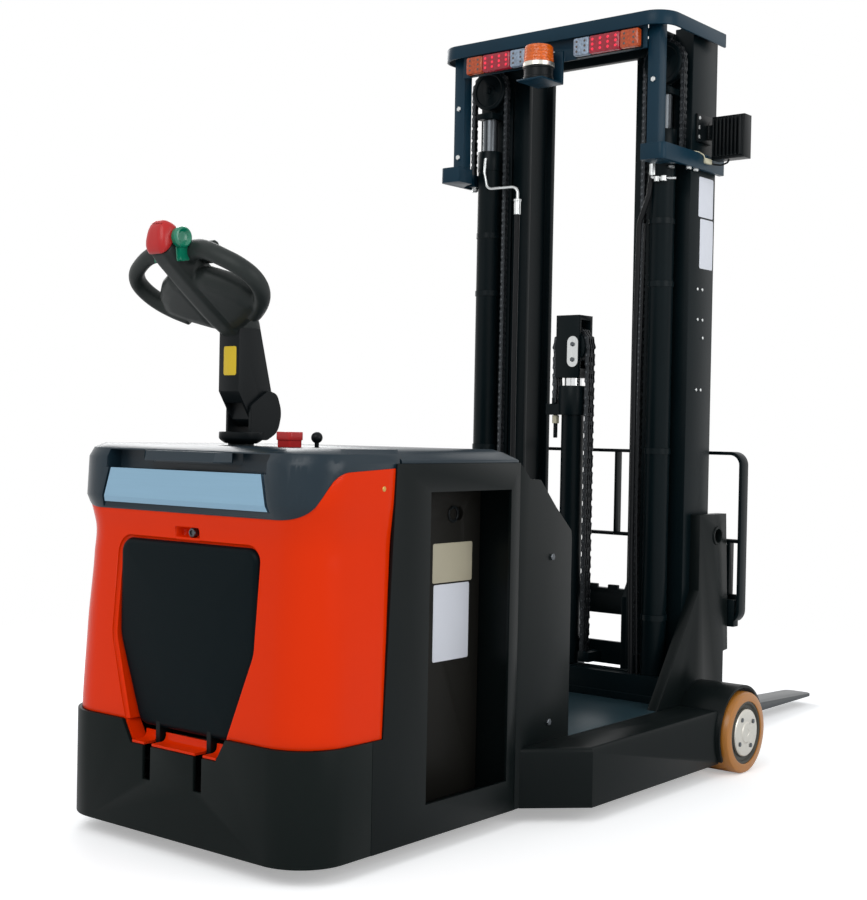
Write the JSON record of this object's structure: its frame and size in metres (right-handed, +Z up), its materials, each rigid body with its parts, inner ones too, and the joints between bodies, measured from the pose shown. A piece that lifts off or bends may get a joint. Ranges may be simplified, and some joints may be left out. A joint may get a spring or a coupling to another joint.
{
  "type": "electric pallet stacker",
  "caption": "Walk-behind electric stacker with tiller, fold-down platform, wide straddle legs and a three stage mast with forks and load backrest",
  "frame": {"origin": "on the floor under the middle of the machine's bounding box", "axes": "+X towards the fork tips, +Y to the left, +Z up"},
  "size_m": [2.8756, 1.133, 2.135],
  "materials": {
    "black_paint": "satin black coat",
    "orange_cover": "glossy orange moulded cover",
    "black_plastic": "satin black moulding",
    "silver_panel": "anodised silver grey",
    "amber_tyre": "cast polyurethane tread on a dark hub",
    "dark_tyre": "dark solid tread",
    "bright_rod": "hard chromed rod",
    "oiled_chain": "oiled steel leaf chain",
    "grey_handle": "grained dark grey moulding",
    "red_plastic": "red push button",
    "green_plastic": "green thumb wheels",
    "lamp_lens": "moulded lamp lenses",
    "amber_lens": "ribbed amber lens",
    "battery_case": "black battery tray"
  },
  "bodies": {
    "root": {"leg_left": "black_paint", "leg_right": "black_paint", "gusset_left": "black_paint", "gusset_right": "black_paint", "mast_outer_left": "black_paint", "mast_outer_right": "black_paint", "lift_cylinder_left": "black_paint", "lift_cylinder_right": "black_paint", "guard_frame_left": "black_paint", "guard_frame_right": "black_paint", "hood": "orange_cover", "top_cover": "black_plastic", "handle_panel": "silver_panel", "skirt": "black_plastic", "chassis": "black_paint", "deck": "black_paint", "battery_frame": "black_paint", "battery": "battery_case", "front_box": "black_paint", "outer_beam": "black_paint", "guard": "black_paint", "tail_lamps": "lamp_lens", "beacon": "amber_lens", "floodlight": "black_plastic", "stop_button": "red_plastic", "lever": "black_plastic"},
    "steering": {"drive_unit": "black_paint", "tiller_base": "black_paint"},
    "tiller": {"tiller_arm": "black_plastic", "tiller_head": "grey_handle", "belly_button": "red_plastic", "butterfly": "green_plastic"},
    "drive_wheel": {"drive_wheel": "dark_tyre"},
    "caster_left": {"caster_fork_left": "black_paint"},
    "caster_right": {"caster_fork_right": "black_paint"},
    "caster_wheel_left": {"caster_wheel_left": "dark_tyre"},
    "caster_wheel_right": {"caster_wheel_right": "dark_tyre"},
    "load_wheel_left": {"load_wheel_left": "amber_tyre"},
    "load_wheel_right": {"load_wheel_right": "amber_tyre"},
    "platform": {"platform": "black_plastic"},
    "battery_lid": {"battery_lid": "black_plastic"},
    "middle_stage": {"mast_middle_left": "black_paint", "mast_middle_right": "black_paint", "lift_rod_left": "bright_rod", "lift_rod_right": "bright_rod", "side_chain_left": "oiled_chain", "side_chain_right": "oiled_chain", "middle_low_beam": "black_paint", "middle_top_beam": "black_paint"},
    "inner_stage": {"mast_inner_left": "black_paint", "mast_inner_right": "black_paint", "inner_low_beam": "black_paint", "inner_top_beam": "black_paint", "free_lift_barrel": "black_paint"},
    "ram": {"ram": "bright_rod", "free_lift_chain": "oiled_chain"},
    "carriage": {"fork_left": "black_paint", "fork_right": "black_paint", "carriage": "black_paint", "backrest": "black_paint"}
  },
  "joints": [
    {"name": "steer", "type": "hinge", "parent": "root", "child": "steering", "pos_m": [-1.16416, 0, 0.9], "axis": [0, 0, 1], "range_deg": [-90, 90]},
    {"name": "tiller_tilt", "type": "hinge", "parent": "steering", "child": "tiller", "pos_m": [-1.12416, 0, 0.99], "axis": [0, -1, 0], "range_deg": [0, 50], "stiffness_Nm_per_rad": 50, "springref_deg": -28.65},
    {"name": "drive_spin", "type": "hinge", "parent": "steering", "child": "drive_wheel", "pos_m": [-1.16416, 0, 0.125], "axis": [0, 1, 0], "continuous": true},
    {"name": "caster_swivel_left", "type": "hinge", "parent": "root", "child": "caster_left", "pos_m": [-1.16416, 0.262, 0.165], "axis": [0, 0, 1], "continuous": true},
    {"name": "caster_swivel_right", "type": "hinge", "parent": "root", "child": "caster_right", "pos_m": [-1.16416, -0.262, 0.165], "axis": [0, 0, 1], "continuous": true},
    {"name": "caster_spin_left", "type": "hinge", "parent": "caster_left", "child": "caster_wheel_left", "pos_m": [-1.20616, 0.262, 0.075], "axis": [0, 1, 0], "continuous": true},
    {"name": "caster_spin_right", "type": "hinge", "parent": "caster_right", "child": "caster_wheel_right", "pos_m": [-1.20616, -0.262, 0.075], "axis": [0, 1, 0], "continuous": true},
    {"name": "load_spin_left", "type": "hinge", "parent": "root", "child": "load_wheel_left", "pos_m": [0.28184, 0.5, 0.115], "axis": [0, 1, 0], "continuous": true},
    {"name": "load_spin_right", "type": "hinge", "parent": "root", "child": "load_wheel_right", "pos_m": [0.28184, -0.5, 0.115], "axis": [0, 1, 0], "continuous": true},
    {"name": "platform_fold", "type": "hinge", "parent": "root", "child": "platform", "pos_m": [-1.31116, 0, 0.212], "axis": [0, -1, 0], "range_deg": [0, 90], "stiffness_Nm_per_rad": 30, "springref_deg": -28.65},
    {"name": "lid_open", "type": "hinge", "parent": "root", "child": "battery_lid", "pos_m": [-0.62616, 0, 0.886], "axis": [0, 1, 0], "range_deg": [0, 70]},
    {"name": "mast_lift", "type": "slide", "parent": "root", "child": "middle_stage", "axis": [0, 0, 1], "range_m": [0, 1.4], "deforming": ["side_chain_left", "side_chain_right"]},
    {"name": "inner_lift", "type": "slide", "parent": "middle_stage", "child": "inner_stage", "axis": [0, 0, 1], "range_m": [0, 1.4], "deforming": ["side_chain_left", "side_chain_right"]},
    {"name": "carriage_lift", "type": "slide", "parent": "inner_stage", "child": "carriage", "axis": [0, 0, 1], "range_m": [0, 1.35], "deforming": ["free_lift_chain"]},
    {"name": "ram_lift", "type": "slide", "parent": "inner_stage", "child": "ram", "axis": [0, 0, 1], "range_m": [0, 0.675], "deforming": ["free_lift_chain"]}
  ],
  "couplings": [
    {"joint": "inner_lift", "follows": "mast_lift", "ratio": 1},
    {"joint": "ram_lift", "follows": "carriage_lift", "ratio": 0.5}
  ]
}
